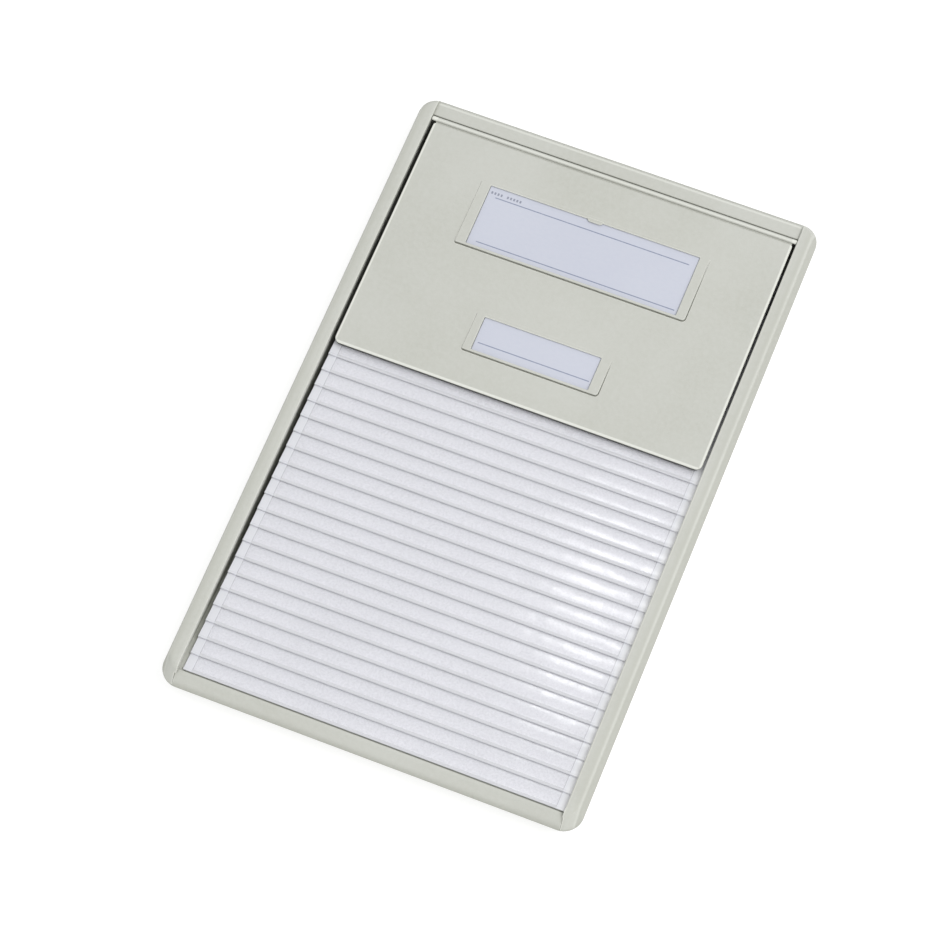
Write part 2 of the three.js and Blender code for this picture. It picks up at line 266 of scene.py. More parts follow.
class Shader:
    """A material and short ways to add nodes to it; values may be numbers or sockets."""

    def __init__(self, name):
        self.material = bpy.data.materials.new(name)
        self.material.use_nodes = True
        self.tree = self.material.node_tree
        self.tree.nodes.clear()
        self.output = self.new("ShaderNodeOutputMaterial").inputs["Surface"]
        self.coord = self.new("ShaderNodeTexCoord").outputs["Object"]

    def new(self, kind, **settings):
        node = self.tree.nodes.new(kind)
        for key, value in settings.items():
            setattr(node, key, value)
        return node

    def put(self, socket, value):
        if isinstance(value, bpy.types.NodeSocket):
            self.tree.links.new(value, socket)
        else:
            socket.default_value = value

    def noise(self, scale, detail=2.0, rough=0.5, stretch=None):
        node = self.new("ShaderNodeTexNoise")
        source = self.coord
        if stretch:
            mapping = self.new("ShaderNodeMapping")
            mapping.inputs["Scale"].default_value = stretch
            self.put(mapping.inputs["Vector"], source)
            source = mapping.outputs["Vector"]
        self.put(node.inputs["Vector"], source)
        self.put(node.inputs["Scale"], scale)
        self.put(node.inputs["Detail"], detail)
        self.put(node.inputs["Roughness"], rough)
        return node.outputs["Fac"]

    def voronoi(self, scale):
        node = self.new("ShaderNodeTexVoronoi")
        self.put(node.inputs["Vector"], self.coord)
        self.put(node.inputs["Scale"], scale)
        return node.outputs["Distance"]

    def math(self, operation, *values):
        node = self.new("ShaderNodeMath", operation=operation)
        for socket, value in zip(node.inputs, values):
            self.put(socket, value)
        return node.outputs[0]

    def times(self, a, b):
        return self.math("MULTIPLY", a, b)

    def plus(self, a, b):
        return self.math("ADD", a, b)

    def minus(self, a, b):
        return self.math("SUBTRACT", a, b)

    def distance(self, a, b):
        return self.math("ABSOLUTE", self.minus(a, b))

    def share(self, a, b, first):
        """A weighted sum, where first is the weight of a."""
        return self.plus(self.times(a, first), self.times(b, 1 - first))

    def span(self, value, over, low=0.0, high=1.0):
        """Goes from low to high while the value crosses the range."""
        node = self.new("ShaderNodeMapRange")
        node.clamp = True
        self.put(node.inputs["Value"], value)
        node.inputs["From Min"].default_value, node.inputs["From Max"].default_value = over
        self.put(node.inputs["To Min"], low)
        self.put(node.inputs["To Max"], high)
        return node.outputs["Result"]

    def fade(self, value, over):
        return self.span(value, over, low=1.0, high=0.0)

    def band(self, value, rise, fall):
        """1 in a band, with a rise before it and a fall after it."""
        return self.times(self.span(value, rise), self.fade(value, fall))

    def even(self, noise, low=0.0, high=1.0):
        """The usual range of a noise, stretched from low to high."""
        return self.span(noise, (0.3, 0.7), low, high)

    def mix(self, amount, start, end):
        node = self.new("ShaderNodeMix", data_type="RGBA")
        self.put(node.inputs[0], amount)
        self.put(node.inputs[6], start)
        self.put(node.inputs[7], end)
        return node.outputs[2]

    def tint(self, colour, mask, amount, toward):
        """Moves the colour by amount where the mask is 1."""
        return self.mix(self.times(mask, amount), colour, toward)

    def split(self, vector):
        node = self.new("ShaderNodeSeparateXYZ")
        self.put(node.inputs[0], vector)
        return node.outputs

    def place_mm(self, axes):
        """The wanted ones of x, s and z, in millimetres."""
        parts = self.split(self.coord)
        out = []
        for axis in axes:
            if axis == "s":
                out.append(self.minus(MID, self.times(parts["Y"], 1000.0)))
            else:
                out.append(self.times(parts[axis.upper()], 1000.0))
        return out

    def leaf_mm(self, axes):
        """The wanted leaf coordinates in millimetres: X across, Y from the hinge."""
        parts = self.split(self.new("ShaderNodeUVMap", uv_map="leaf").outputs["UV"])
        return [self.times(parts[axis], 1000.0) for axis in axes]

    def bump(self, height, distance, strength, normal=None):
        node = self.new("ShaderNodeBump")
        self.put(node.inputs["Strength"], strength)
        self.put(node.inputs["Distance"], distance)
        self.put(node.inputs["Height"], height)
        if normal is not None:
            self.put(node.inputs["Normal"], normal)
        return node.outputs["Normal"]

    def edges(self, radius):
        """0 on flats and 1 along outer and inner edges, from a rounded normal."""
        bevel = self.new("ShaderNodeBevel", samples=4)
        self.put(bevel.inputs["Radius"], radius)
        geometry = self.new("ShaderNodeNewGeometry")
        dot = self.new("ShaderNodeVectorMath", operation="DOT_PRODUCT")
        self.put(dot.inputs[0], bevel.outputs["Normal"])
        self.put(dot.inputs[1], geometry.outputs["Normal"])
        return self.span(self.minus(1.0, dot.outputs["Value"]), over=(0.02, 0.25))

    def crevice(self, distance):
        """0 in the open and 1 deep in a crevice."""
        node = self.new("ShaderNodeAmbientOcclusion", samples=4)
        self.put(node.inputs["Distance"], distance)
        return self.fade(node.outputs["AO"], over=(0.25, 0.85))

    def mix_shader(self, amount, first, second):
        node = self.new("ShaderNodeMixShader")
        for socket, value in zip(node.inputs, (amount, first, second)):
            self.put(socket, value)
        return node.outputs[0]

    def principled(self, colour, rough, normal, specular):
        node = self.new("ShaderNodeBsdfPrincipled")
        self.put(node.inputs["Base Color"], colour)
        self.put(node.inputs["Roughness"], rough)
        self.put(node.inputs["Specular IOR Level"], specular)
        self.put(node.inputs["Normal"], normal)
        self.put(self.output, node.outputs[0])
        return node


# ---------------------------------------------------------------- materials
# moulded plastic: body colour, mottling, rubbed edges and painted highlights, painted shade,
# painted shade in crevices, painted dark shadow
BASE, DARK, WEAR_AND_HIGHLIGHT = srgb(204, 205, 199), srgb(189, 190, 181), srgb(233, 234, 226)
SHADE, CREVICE_SHADE, EDGE_SHADOW = srgb(150, 151, 139), srgb(112, 113, 100), srgb(34, 34, 30)
RUBBER_DARK, RUBBER_PALE, RUBBER_EDGE = srgb(58, 58, 57), srgb(78, 77, 75), srgb(104, 103, 100)
# cards in the pockets
CARD_COOL, CARD_PALE, CARD_FIBRE = srgb(236, 236, 240), srgb(241, 241, 245), srgb(221, 223, 228)
# label cards, painted shade in their crevices, and their print
LABEL_COOL, LABEL_PALE, LABEL_FIBRE = srgb(199, 202, 214), srgb(202, 205, 216), srgb(188, 193, 209)
LABEL_CREVICE_SHADE, RULE_INK, DASH_INK = srgb(150, 152, 168), srgb(112, 122, 150), srgb(88, 94, 116)
# pocket film: two body tones, rolled edge greyed as painted shade, side margins, right margin
# lightened as painted light, sharp edges
FILM_PALE, FILM_DARK, FILM_BEAD_SHADE = srgb(236, 236, 241), srgb(231, 231, 236), srgb(216, 217, 220)
FILM_MARGIN, FILM_RIGHT_LIGHT, FILM_EDGE = srgb(224, 225, 230), srgb(254, 254, 255), srgb(236, 237, 240)
# painted shade from the leaf above: cards and film darken to this tone over a short way back from
# the leaf's front edge
LEAF_SHADE, LEAF_SHADE_Y = srgb(211, 212, 216), (-86.6, -82.4)


def plastic(name, touch):
    """Moulded grey plastic with fine grain and faint mottling. Its edges are lighter, partly rubbed
    and partly a painted highlight;
    its crevices get painted shade, and touch adds the painted highlights and shade of one piece."""
    t = Shader(name)
    fine = t.noise(scale=2300, detail=3.0, rough=0.6)
    medium = t.noise(scale=700, detail=3.0, rough=0.55)
    cloud = t.noise(scale=28, detail=3.0)
    pits = t.voronoi(scale=1500)
    mottle = t.share(t.even(medium), t.even(fine), first=0.55)
    colour = t.tint(DARK, mottle, amount=0.62, toward=BASE)
    colour = t.mix(t.span(cloud, over=(0.35, 0.7), high=0.45), colour, BASE)
    patches = t.noise(scale=260, detail=3.0, rough=0.6)
    # edges: rubbed a little lighter, and lighter again as a painted highlight
    worn_and_highlit = t.times(t.edges(radius=0.0007), t.span(patches, over=(0.3, 0.65), low=0.55))
    colour = t.mix(worn_and_highlit, colour, WEAR_AND_HIGHLIGHT)
    colour = touch(t, colour)
    # painted shade: darker in crevices, from ambient occlusion
    colour = t.tint(colour, t.crevice(distance=0.0010), amount=0.62, toward=CREVICE_SHADE)
    rough = t.plus(t.even(cloud, low=0.50, high=0.60), t.even(fine, low=-0.05, high=0.05))
    polish = 0.10   # roughness lost on worn edges
    rough = t.minus(rough, t.times(worn_and_highlit, polish))
    normal = t.bump(t.share(fine, pits, first=0.6), distance=0.00005, strength=0.42)
    normal = t.bump(medium, distance=0.00008, strength=0.16, normal=normal)
    t.principled(colour, rough, normal, specular=0.22)
    return t.material


def rail_touch(t, colour):
    """Painted highlights on the inner edge and the outer ridge; painted shade on the face beside
    the ridge, on the flank outside it and on the body at the rim."""
    x, z = t.place_mm("xz")
    across = t.math("ABSOLUTE", x)
    face = t.span(z, over=(16.9, 17.3))
    # painted highlight along the lip's inner edge
    inner_edge = t.times(t.band(across, rise=(65.5, 65.8), fall=(66.5, 67.0)), face)
    colour = t.tint(colour, inner_edge, amount=0.12, toward=WEAR_AND_HIGHLIGHT)
    # painted shade on the face beside the ridge
    beside_ridge = t.times(t.band(across, rise=(67.8, 69.0), fall=(69.4, 69.8)), face)
    colour = t.tint(colour, beside_ridge, amount=0.60, toward=DARK)
    # painted highlight on the outer ridge
    ridge = t.band(across, rise=(69.7, 69.9), fall=(70.1, 70.35))
    colour = t.tint(colour, ridge, amount=0.12, toward=WEAR_AND_HIGHLIGHT)
    # painted shade on the outer flank
    flank = t.span(across, over=(70.3, 70.6))
    colour = t.tint(colour, flank, amount=0.34, toward=SHADE)
    # painted shade on the body at and below the rim
    return t.tint(colour, t.fade(z, over=(11.1, 12.4)), amount=0.55, toward=SHADE)


def tray_touch(t, colour):
    """Painted highlight on the rear bar's upper edge; painted shade on its back and on the lower
    body.
    """
    s, z = t.place_mm("sz")
    # painted highlight on the rear bar's upper edge
    bar_edge = t.band(s, rise=(0.5, 0.8), fall=(1.2, 1.7))
    colour = t.tint(colour, bar_edge, amount=0.52, toward=WEAR_AND_HIGHLIGHT)
    # painted shade on the bar's back
    colour = t.tint(colour, t.fade(s, over=(-0.2, 0.5)), amount=0.40, toward=SHADE)
    # painted shade on the lower body
    return t.tint(colour, t.fade(z, over=(11.2, 13.6)), amount=0.62, toward=SHADE)


def cover_touch(t, colour):
    """Painted highlights on the plate's rim and the barrel's crown, and a dark painted shadow on
    the wall under the rim.
    """
    x, s, z = t.place_mm("xsz")
    from_side = t.minus(COVER_X, t.distance(x, PLAY_COVER))
    from_edge = t.math("MINIMUM", from_side, t.minus(COVER_FRONT, s))
    face = t.span(z, over=(16.95, 17.2))
    # painted highlight along the plate's rim
    rim = t.times(t.fade(from_edge, over=(0.55, 0.95)), face)
    colour = t.tint(colour, rim, amount=0.80, toward=WEAR_AND_HIGHLIGHT)
    # painted highlight on the barrel's crown
    crown = t.times(t.band(s, rise=(6.6, 6.95), fall=(7.35, 7.7)), face)
    colour = t.tint(colour, crown, amount=0.50, toward=WEAR_AND_HIGHLIGHT)
    # painted shadow: the wall under the rim is made nearly black
    wall = t.times(t.fade(from_edge, over=(0.2, 0.45)), t.fade(z, over=(16.85, 17.0)))
    return t.tint(colour, wall, amount=0.95, toward=EDGE_SHADOW)


def rubber(name):
    t = Shader(name)
    fine = t.noise(scale=1900, detail=4.0, rough=0.65)
    cloud = t.noise(scale=180, detail=3.0, rough=0.6)
    colour = t.mix(t.even(cloud), RUBBER_DARK, RUBBER_PALE)
    colour = t.tint(colour, t.edges(radius=0.0006), amount=0.5, toward=RUBBER_EDGE)
    normal = t.bump(fine, distance=0.00009, strength=0.5)
    t.principled(colour, t.even(fine, low=0.72, high=0.92), normal, specular=0.3)
    return t.material


def paper(name):
    """White card stock with fibres, a faint tone change, and painted shade from the leaf above."""
    t = Shader(name)
    fibre = t.noise(scale=900, detail=4.0, rough=0.65, stretch=(1.0, 0.35, 1.0))
    cloud = t.noise(scale=22)
    colour = t.mix(t.even(cloud), CARD_COOL, CARD_PALE)
    colour = t.mix(t.span(fibre, over=(0.35, 0.75), high=0.22), colour, CARD_FIBRE)
    [along] = t.leaf_mm("Y")
    # painted shade from the leaf above
    colour = t.mix(t.span(along, over=LEAF_SHADE_Y, high=0.30), colour, LEAF_SHADE)
    normal = t.bump(fibre, distance=0.00004, strength=0.35)
    t.principled(colour, t.even(fibre, low=0.62, high=0.8), normal, specular=0.3)
    return t.material


def film(name):
    """Clear glossy pocket film: mostly see-through, hazier along the side margins and the rolled
    front edge, with a slight waviness and fine scuffs. The rolled edge is greyed as painted shade,
    the right margin is lightened as painted light, and the film darkens as painted shade where the
    leaf above lies."""
    t = Shader(name)
    across, along = t.leaf_mm("XY")
    wave = t.noise(scale=70)
    fine = t.noise(scale=620, detail=3.0, rough=0.6)
    scuff = t.noise(scale=1500)
    normal = t.bump(wave, distance=0.0006, strength=0.22)
    normal = t.bump(fine, distance=0.00010, strength=0.06, normal=normal)

    margin = t.span(t.distance(across, PLAY_LEAF), over=(61.9, 62.3))
    bead = t.fade(along, over=(-87.25, -87.0))
    margin_haze, bead_haze = 0.97, 0.88     # share of the surface that is not see-through
    haze = t.math("MAXIMUM", t.times(margin, margin_haze), t.times(bead, bead_haze))
    haze = t.math("MAXIMUM", haze, t.span(scuff, over=(0.35, 0.7), low=0.14, high=0.20))

    colour = t.mix(t.even(wave), FILM_PALE, FILM_DARK)
    # painted shade: the rolled edge is tinted grey, deepening the dark line at the leaf's front
    # edge
    colour = t.tint(colour, bead, amount=0.8, toward=FILM_BEAD_SHADE)
    colour = t.tint(colour, margin, amount=0.9, toward=FILM_MARGIN)
    # painted light on the right margin, lifting the shadow of the right rail
    colour = t.mix(t.span(across, over=(63.4, 65.6), high=0.9), colour, FILM_RIGHT_LIGHT)
    colour = t.tint(colour, t.edges(radius=0.0003), amount=0.2, toward=FILM_EDGE)
    # painted shade from the leaf above
    colour = t.mix(t.span(along, over=LEAF_SHADE_Y, high=0.22), colour, LEAF_SHADE)

    body = t.new("ShaderNodeBsdfDiffuse")
    t.put(body.inputs["Color"], colour)
    t.put(body.inputs["Normal"], normal)
    clear = t.new("ShaderNodeBsdfTransparent")
    clear.inputs["Color"].default_value = (0.995, 0.995, 0.995, 1.0)
    sheet = t.mix_shader(haze, clear.outputs[0], body.outputs[0])

    gloss = t.new("ShaderNodeBsdfGlossy")
    gloss.inputs["Color"].default_value = (1, 1, 1, 1)
    t.put(gloss.inputs["Roughness"], t.even(fine, low=0.09, high=0.14))
    t.put(gloss.inputs["Normal"], normal)
    layer = t.new("ShaderNodeLayerWeight")
    layer.inputs["Blend"].default_value = 0.5
    t.put(layer.inputs["Normal"], normal)
    # reflection seen face on, what it gains at a glancing angle, and how late it gains it
    face_on, glancing, power = 0.05, 0.7, 5.0
    steep = t.math("POWER", layer.outputs["Facing"], power)
    reflection = t.math("MULTIPLY_ADD", steep, glancing, face_on)
    geometry = t.new("ShaderNodeNewGeometry")
    reflection = t.times(reflection, t.minus(1.0, geometry.outputs["Backfacing"]))
    t.put(t.output, t.mix_shader(reflection, sheet, gloss.outputs[0]))
    return t.material


def printed_label(name, rules, dashes=None):
    """Smooth label card with thin printed rules and a row of dashes as a heading.
    rules: (s, from x, to x); dashes: (s, from x, to x, count)."""
    t = Shader(name)
    fibre = t.noise(scale=1100, detail=3.0, rough=0.6, stretch=(0.5, 1.0, 1.0))
    cloud = t.noise(scale=30)
    colour = t.mix(t.even(cloud), LABEL_COOL, LABEL_PALE)
    colour = t.mix(t.span(fibre, over=(0.35, 0.75), high=0.2), colour, LABEL_FIBRE)
    parts = t.split(t.coord)
    x, y = parts["X"], parts["Y"]
    ink = t.noise(scale=1500)
    soft = 0.1      # fade at the ends of a rule
    for s, x0, x1 in rules:
        line = t.fade(t.distance(y, y_at(s) * MM), over=(0.00013, 0.00023))
        ends = t.band(x, rise=(x0 * MM, (x0 + soft) * MM), fall=((x1 - soft) * MM, x1 * MM))
        strength = t.span(ink, over=(0.3, 0.6), low=0.68, high=0.85)
        colour = t.mix(t.times(t.times(line, ends), strength), colour, RULE_INK)
    if dashes:
        s, x0, x1, count = dashes
        step = (x1 - x0) / count

        def steps_along():
            return t.math("DIVIDE", t.minus(x, x0 * MM), step * MM)

        row = t.fade(t.distance(y, y_at(s) * MM), over=(0.00042, 0.00052))
        dash = t.band(t.math("FRACT", steps_along()), rise=(0.10, 0.16), fall=(0.66, 0.72))
        soft = 0.01
        ends = t.band(x, rise=((x0 - soft) * MM, x0 * MM), fall=(x1 * MM, (x1 + soft) * MM))
        # the fifth dash is left out
        gap_middle, gap_half = 4.5, 0.5
        kept = t.math("GREATER_THAN", t.distance(steps_along(), gap_middle), gap_half)
        mark = t.times(t.times(t.times(row, dash), ends), kept)
        colour = t.tint(colour, mark, amount=0.62, toward=DASH_INK)
    # painted shade along the window's edges, from ambient occlusion
    colour = t.tint(colour, t.crevice(distance=0.0006), amount=0.25, toward=LABEL_CREVICE_SHADE)
    normal = t.bump(fibre, distance=0.00003, strength=0.25)
    t.principled(colour, t.even(fibre, low=0.45, high=0.6), normal, specular=0.4)
    return t.material


GREY = plastic("moulded_grey", tray_touch)
GREY_RAIL = plastic("moulded_grey_rail", rail_touch)
GREY_COVER = plastic("moulded_grey_cover", cover_touch)
RUBBER = rubber("foot_rubber")
CARD = paper("card_stock")
FILM = film("pocket_film")


# ---------------------------------------------------------------- body shape
# z, half width, rear s, front s, plan corner radius
LEVELS = [
    (1.0, 69.5, 0.6, 222.2, 5.4), (1.1, 69.85, 0.25, 222.6, 5.7),
    (1.35, 70.1, 0.0, 222.85, 5.9), (1.7, 70.27, -0.17, 223.05, 6.0),
    (10.2, 71.55, -2.35, 226.5, 6.45), (10.5, 71.68, -2.5, 226.7, 6.55),
    (10.8, 71.77, -2.6, 226.82, 6.6), (11.1, RIM_X, RIM_REAR, RIM_FRONT, 6.6),
    (11.8, RIM_X, RIM_REAR, RIM_FRONT, 6.6), (12.05, 71.78, -2.6, 226.8, 6.6),
    (12.35, 71.72, -2.47, 226.62, 6.55), (12.7, 71.62, -2.25, 226.3, 6.5),
    (16.7, 70.57, -0.12, 223.45, 5.8), (17.2, 70.4, 0.2, 223.0, 5.6),
    (17.55, 70.18, 0.58, 222.6, 5.4), (17.8, 69.88, 0.95, 222.2, 5.15),
    (17.92, 69.45, 1.35, 221.75, 4.9), (17.98, 68.9, 1.75, 221.3, 4.6),
    (Z_RAIL, 68.3, 2.3, 220.7, 4.2),
]


def body_shape():
    """The solid outer form that the rails and the tray are cut from."""
    shape = Shape()
    shape.skin([at_z(plan_box(-half, half, rear, front, [r] * 4, 14), z)
                for z, half, rear, front, r in LEVELS])
    return make_mesh("body_shape", shape)


# ---------------------------------------------------------------- rails
LIP_OVERHANG = {-1: 0.68, 1: 0.30}      # how far a rail's upper lip reaches inwards, by side
# (s, z) section of the ledge over the pocket pins
LEDGE = [(RACK_REAR, 4.8), (RACK_FRONT, 4.8), (RACK_FRONT, 5.5), (RACK_FRONT - 0.1, 5.6),
         (RACK_REAR + 0.1, 5.6), (RACK_REAR, 5.5)]


def make_rail(side, word):
    lip = RAIL_X - LIP_OVERHANG[side]
    r = 0.38    # rounding of the lip
    beyond = 80.0   # x outside the body
    profile = [(RAIL_X, 0.0), (RAIL_X, 15.7), (lip, 16.0)]
    profile += [(lip + r - r * math.cos(a), Z_RAIL - r + r * math.sin(a))
                for a in degrees(0, 82, 7)]
    profile += [(lip + 1.2, Z_RAIL + 0.2), (beyond, Z_RAIL + 1.0), (beyond, 0.0)]
    half = Shape()
    half.along_y([(side * x, z) for x, z in profile], -130.0, 130.0)
    mesh = carve(body_shape(), make_mesh("half", half), "INTERSECT")

    hole = Shape()      # for the cover's hinge pin
    hole.rod_x(0.67, (side * (RAIL_X - 1.4), side * 68.0), n=24, edge=0.02)
    mesh = carve(mesh, make_mesh("pin_cutter", hole), "DIFFERENCE")

    ledge = Shape()
    ledge.along_x(LEDGE, [side * x for x in (64.7, 64.8, RAIL_X + 0.4)])
    mesh = join(mesh, make_mesh("ledge", ledge))
    mesh.name = "rail_" + word
    shade_smooth(mesh, 33)
    piece("rail_" + word, mesh, GREY_RAIL, "tray", "side_rail_" + word)


make_rail(-1, "left")
make_rail(1, "right")


# ---------------------------------------------------------------- tray
def tray_profile():
    """(s, z) section of the tray, upper side from the rear, then back along the underside.
    It overshoots the body shape outside, where it is cut to it."""
    floor_z = Z_BODY + FLOOR_T
    back = BAR_S - 1.5      # inner wall of the hollow rear bar
    hollow_z = BAR_Z - 1.6
    ramp_end = RAMP_S + 3
    return [
        # back and top of the rear bar
        (-4.0, 0.3), (-4.0, 10.0), (-2.9, 11.4), (-0.05, 15.9), (0.3, 16.27), (0.6, 16.51),
        (0.95, 16.69), (1.3, 16.78), (1.7, BAR_Z), (BAR_S - BAR_ROUND, BAR_Z),
        *[(BAR_S - BAR_ROUND + BAR_ROUND * math.sin(a), BAR_Z - BAR_ROUND + BAR_ROUND * math.cos(a))
          for a in degrees(15, 90, 6)],
        # level floor, then ramp
        (BAR_S, floor_z + 0.6), (BAR_S + 0.2, floor_z + 0.2), (BAR_S + 0.6, floor_z),
        (RAMP_S, floor_z), (RAMP_S, ramp_z(RAMP_S)),
        # front lip and front face
        (LIP_S, ramp_z(LIP_S)), (LIP_S, LIP_Z - LIP_ROUND),
        *[(LIP_S + LIP_ROUND - LIP_ROUND * math.cos(a), LIP_Z - LIP_ROUND + LIP_ROUND * math.sin(a))
          for a in np.radians((20, 45, 70))],
        (LIP_S + LIP_ROUND, LIP_Z), (222.9, LIP_Z), (223.2, 15.15), (223.5, 15.02),
        (227.2, 12.2), (228.5, 11.0), (228.5, 0.3),
        # underside, from the front
        (221.0, 0.3), (221.0, 2.2), (224.3, 10.8), (223.3, 12.2),
        (221.0, ramp_z(221.0) - FLOOR_T), (ramp_end, ramp_z(ramp_end) - FLOOR_T),
        (ramp_end, 0.3), (back, 0.3), (back, hollow_z),
        (1.9, hollow_z), (-0.7, 11.7), (1.9, 2.2), (1.9, 0.3),
    ]


def add_ribs(shape):
    """Ribs that run from rear to front under the ramp."""
    half, sunk, rear = 0.7, 0.8, RAMP_S + 1
    section = [(rear, Z_BODY), (rear, ramp_z(rear) - sunk),
               (LIP_S, ramp_z(LIP_S) - sunk), (LIP_S, Z_BODY)]
    for x in (-TRAY_X + half, -32, 0, 32, TRAY_X - half):
        shape.along_x(section, [x - half, x + half])


def add_racks(shape):
    """Castellated racks, one slot to a pocket pin."""
    half = 0.67         # half width of a slot
    base, top = 2.3, 4.75
    comb = [(RACK_REAR, base), (RACK_REAR, top)]
    for k in range(LEAVES):
        s = leaf_s(k)
        # one side of a slot as (offset from its middle, z), from the top down
        slope = [(half + 0.12, top), (half, 4.6), (half, LEAF_Z - 0.35), (0.42, LEAF_Z - half)]
        comb += [(s - offset, z) for offset, z in slope]
        comb += [(s + offset, z) for offset, z in reversed(slope)]
    comb += [(RACK_FRONT, top), (RACK_FRONT, base)]
    for side in (-1, 1):
        shape.along_x(comb, [side * 64.5, side * 66.1])


def make_tray():
    shell = Shape()
    shell.along_x(tray_profile(), [-TRAY_X, TRAY_X])
    mesh = carve(make_mesh("shell", shell), body_shape(), "INTERSECT")
    fittings = Shape()
    add_ribs(fittings)
    boss_r, boss_top = 6.3, ramp_z(199) - 0.4
    for x in (-FOOT_X, FOOT_X):     # bosses over the front feet
        fittings.disc(x, FOOT_FRONT, 40, [(boss_r, z) for z in (Z_BODY, 1.3, boss_top)])
    add_racks(fittings)
    mesh = join(mesh, make_mesh("fittings", fittings))
    mesh.name = "tray_shell"
    shade_smooth(mesh, 30)
    piece("tray_shell", mesh, GREY, "tray", "tray_base")


make_tray()

# (radius, z) of a foot pad
FOOT_STEPS = [(4.35, 0.0), (4.6, 0.03), (4.85, 0.14), (4.97, 0.34), (5.0, 0.5), (5.0, 1.44)]
for row, s in (("rear", FOOT_REAR), ("front", FOOT_FRONT)):
    for hand, x in (("left", -FOOT_X), ("right", FOOT_X)):
        pad = Shape()
        pad.disc(x, s, 48, FOOT_STEPS)
        piece(f"foot_pad_{row}_{hand}", make_mesh("foot", pad), RUBBER, "tray",
              f"foot_{row}_{hand}")


# ---------------------------------------------------------------- cover
# window edges in x and s, and the outer sides of the raised frame around it
Label = namedtuple("Label", "name left right rear front frame_left frame_right")
TITLE = Label("title", -37.15, 37.85, 24.3, 47.7, -40.7, 41.2)
NAME = Label("name", -20.8, 20.6, 71.1, 83.9, -23.7, 24.2)
FRAME_REAR, FRAME_FRONT = 0.6, 0.9      # how far a frame reaches past its window
FRAME_RISE = 0.5                        # height of a frame at its front; it is flush at the rear
RECESS = 0.72                           # label floor below the plate's face
UNDERCUT, UNDERCUT_H = 1.3, 0.42        # slot under the rear edge of a window: depth, height

# groove around a frame: growth to the left, right and front, and drop below the face
GROOVE = [(0.02, 0.30, 0.52, 0.0), (0.017, 0.27, 0.48, 0.06), (0.014, 0.25, 0.45, 0.55),
          (0.0, 0.0, 0.0, 0.55)]
# a frame's outer edge: growth, drop below its crest
FRAME_OUTER = [(-0.02, 0.26), (-0.07, 0.12), (-0.16, 0.035), (-0.30, 0.0)]
# a frame's inner edge: growth of the window, drop below the crest
FRAME_INNER = [(0.30, 0.0), (0.14, 0.04), (0.04, 0.13), (0.0, 0.28)]

# plate's edge from the underside up: inset, depth below the face
PLATE_EDGE = [(0.75, COVER_T), (0.6, COVER_T - 0.06), (0.55, COVER_T - 0.2), (0.55, 0.95),
              (0.12, 0.9), (0.02, 0.84), (0.0, 0.76)]
PLATE_ROUND = 0.42                      # radius of its upper edge


def plate_loop(inset, z):
    front_inset = inset if z > 16.7 else 0.12
    front_r, rear_r = 2.1 - inset, 0.8 - inset
    return at_z(plan_box(-COVER_X + inset + PLAY_COVER, COVER_X - inset + PLAY_COVER,
                         COVER_REAR + inset, COVER_FRONT - front_inset,
                         [front_r, front_r, rear_r, rear_r], 8), z)


def add_label_frame(cover, label):
    """Groove, raised frame and sunk window of a label. Returns the outermost loop."""
    rear, front = label.rear - FRAME_REAR, label.front + FRAME_FRONT

    def lift(s):
        """0 at the frame's rear side and 1 at its front."""
        return min(1.0, max(0.0, (s - rear) / (front - rear)))

    def crest(drop):
        return lambda s: COVER_Z + FRAME_RISE * lift(s) - drop * min(1.0, 6 * lift(s) + 0.02)

    def groove(drop):
        return lambda s: COVER_Z - drop * min(1.0, 3.0 * lift(s))

    def ring(to_left, to_right, to_front, height):
        """Outline of the frame, grown on all sides but the rear."""
        grow = (to_right + to_front) / 2
        radii = [max(0.35 + grow, 0.08), max(1.15 + grow, 0.1), 0.25, 0.25]
        return at_height(plan_box(label.frame_left - to_left, label.frame_right + to_right,
                                  rear, front + to_front, radii), height)

    def window(grow, height, back=0.0):
        """Outline of the window; back extends it to the rear."""
        return at_height(plan_box(label.left - grow, label.right + grow,
                                  label.rear - min(grow, 0.25) - back, label.front + grow,
                                  [0.4 + grow] * 2 + [0.3] * 2), height)

    def floor(s):
        return COVER_Z - RECESS

    def ceiling(s):
        return COVER_Z - RECESS + UNDERCUT_H

    loops = [ring(*growth, groove(drop)) for *growth, drop in GROOVE]
    loops += [ring(grow, grow, grow, crest(drop)) for grow, drop in FRAME_OUTER]
    loops += [window(grow, crest(drop)) for grow, drop in FRAME_INNER]
    loops += [window(0.0, ceiling), window(0.0, ceiling, UNDERCUT), window(0.0, floor, UNDERCUT)]
    ids = cover.wall(loops)
    cover.cap(ids[-1])
    return ids[0]


def make_cover_plate():
    cover = Shape()
    rows = [plate_loop(inset, COVER_Z - depth) for inset, depth in PLATE_EDGE]
    for a in degrees(0, 90, 7):
        rows.append(plate_loop(PLATE_ROUND * (1 - math.cos(a)),
                               COVER_Z - PLATE_ROUND + PLATE_ROUND * math.sin(a)))
    ids = cover.wall(rows)
    cover.cap(ids[0])
    holes = [add_label_frame(cover, label) for label in (TITLE, NAME)]
    cover.fill([ids[-1]] + holes)
    mesh = make_mesh("cover_plate", cover, 42)
    piece("cover_plate", mesh, GREY_COVER, "cover", "cover")


